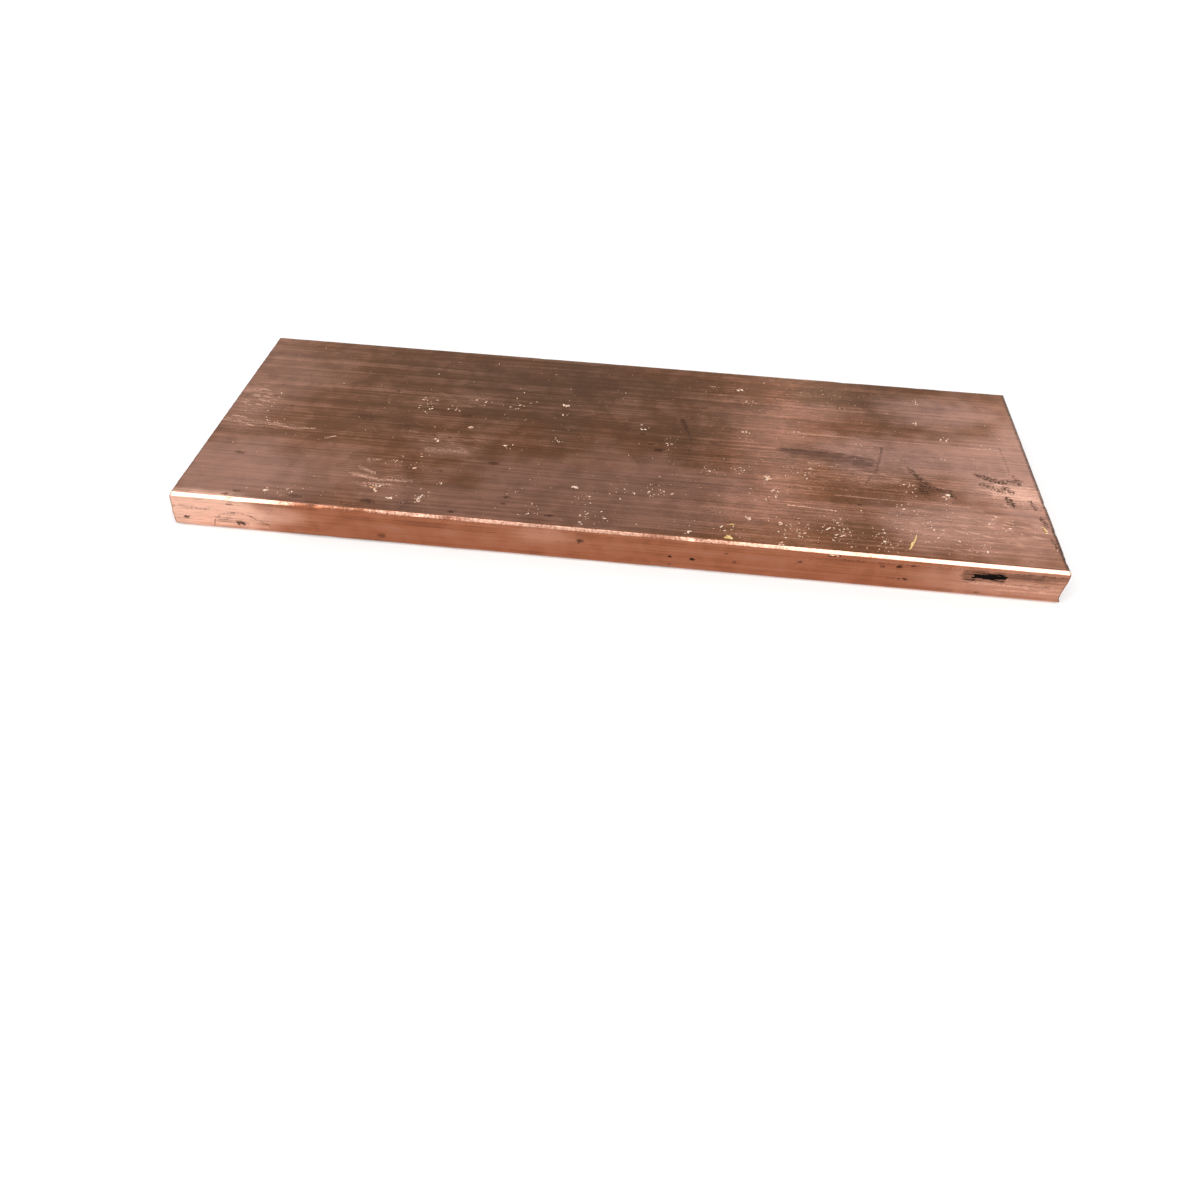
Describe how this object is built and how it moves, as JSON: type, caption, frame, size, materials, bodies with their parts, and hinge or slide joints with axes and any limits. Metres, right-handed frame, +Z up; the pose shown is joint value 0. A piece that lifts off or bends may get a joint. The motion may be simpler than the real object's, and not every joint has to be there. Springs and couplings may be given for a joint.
{
  "type": "copper ingot bar",
  "caption": "Short sheared length of drawn flat copper bar with rounded long edges, flat broad faces to lie and stack on, and torn sheared ends.",
  "frame": {"origin": "middle of the broad face that the bar lies on", "axes": "+X along the bar towards the end whose sheared roll is at the top face, +Y across the bar, +Z up through its thickness"},
  "size_m": [0.215, 0.08, 0.01],
  "materials": {
    "copper": "drawn, with a dull brown film and bright handling scuffs"
  },
  "bodies": {
    "root": {"copper_bar": "copper"}
  },
  "joints": []
}
